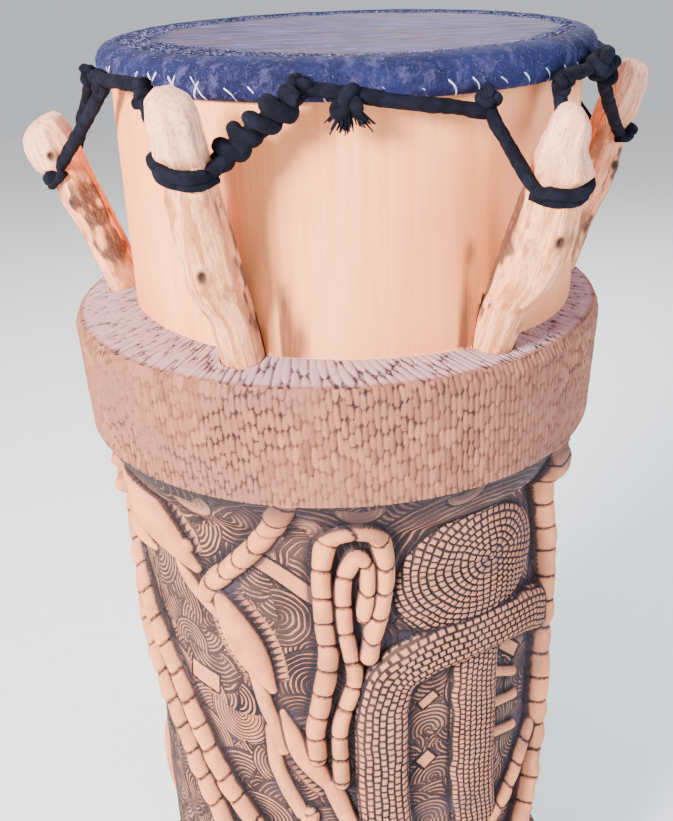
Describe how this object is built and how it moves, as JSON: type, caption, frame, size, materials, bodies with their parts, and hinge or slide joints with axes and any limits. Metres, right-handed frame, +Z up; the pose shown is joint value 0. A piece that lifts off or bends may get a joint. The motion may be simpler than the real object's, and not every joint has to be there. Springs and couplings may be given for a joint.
{
  "type": "carved peg drum",
  "caption": "Floor-standing hand drum: a carved one-piece log with a hide head, tensioned by a black cord looped on slanted wooden pegs in the collar.",
  "frame": {"origin": "on the floor at the centre of the drum's footprint, under the axis of the plain upper shell", "axes": "+Z up along the shell, -Y the front that faces the viewer, +X to the viewer's right"},
  "size_m": [0.4163, 0.3867, 0.76],
  "materials": {
    "carved_log": "carved and burnt, waxed on the shell",
    "peg_wood": "peeled stick, axe-cut",
    "hide": "short dark hair, shaved streaky centre",
    "hoop_iron": "bare iron rod",
    "lace": "twisted white thread",
    "cord": "soft black cloth cord"
  },
  "bodies": {
    "drum": {"drum_body": "carved_log", "drum_hide": "hide", "hem_hoop": "hoop_iron", "hem_lace": "lace", "cord_run_front": "cord", "cord_run_right": "cord", "cord_run_rear_right": "cord", "cord_run_rear_left": "cord", "cord_run_left": "cord", "cord_knot_right": "cord", "cord_end_tuft": "cord"},
    "peg_front_left": {"peg_front_left": "peg_wood", "cord_loop_front_left": "cord", "cord_hitch_chain": "cord"},
    "peg_front_right": {"peg_front_right": "peg_wood", "cord_loop_front_right": "cord"},
    "peg_right": {"peg_right": "peg_wood", "cord_loop_right": "cord"},
    "peg_rear": {"peg_rear": "peg_wood", "cord_loop_rear": "cord"},
    "peg_left": {"peg_left": "peg_wood", "cord_loop_left": "cord"}
  },
  "joints": [
    {"name": "peg_front_left_slide", "type": "slide", "parent": "drum", "child": "peg_front_left", "axis": [-0.1477, -0.2339, 0.961], "range_m": [-0.012, 0.006], "deforming": ["cord_loop_front_left", "cord_hitch_chain"]},
    {"name": "peg_front_right_slide", "type": "slide", "parent": "drum", "child": "peg_front_right", "axis": [0.2353, -0.2359, 0.9429], "range_m": [-0.012, 0.006], "deforming": ["cord_loop_front_right"]},
    {"name": "peg_right_slide", "type": "slide", "parent": "drum", "child": "peg_right", "axis": [0.3301, 0.1382, 0.9338], "range_m": [-0.012, 0.006], "deforming": ["cord_loop_right"]},
    {"name": "peg_rear_slide", "type": "slide", "parent": "drum", "child": "peg_rear", "axis": [-0.0166, 0.1893, 0.9818], "range_m": [-0.012, 0.006], "deforming": ["cord_loop_rear"]},
    {"name": "peg_left_slide", "type": "slide", "parent": "drum", "child": "peg_left", "axis": [-0.3469, 0.0145, 0.9378], "range_m": [-0.012, 0.006], "deforming": ["cord_loop_left"]}
  ]
}
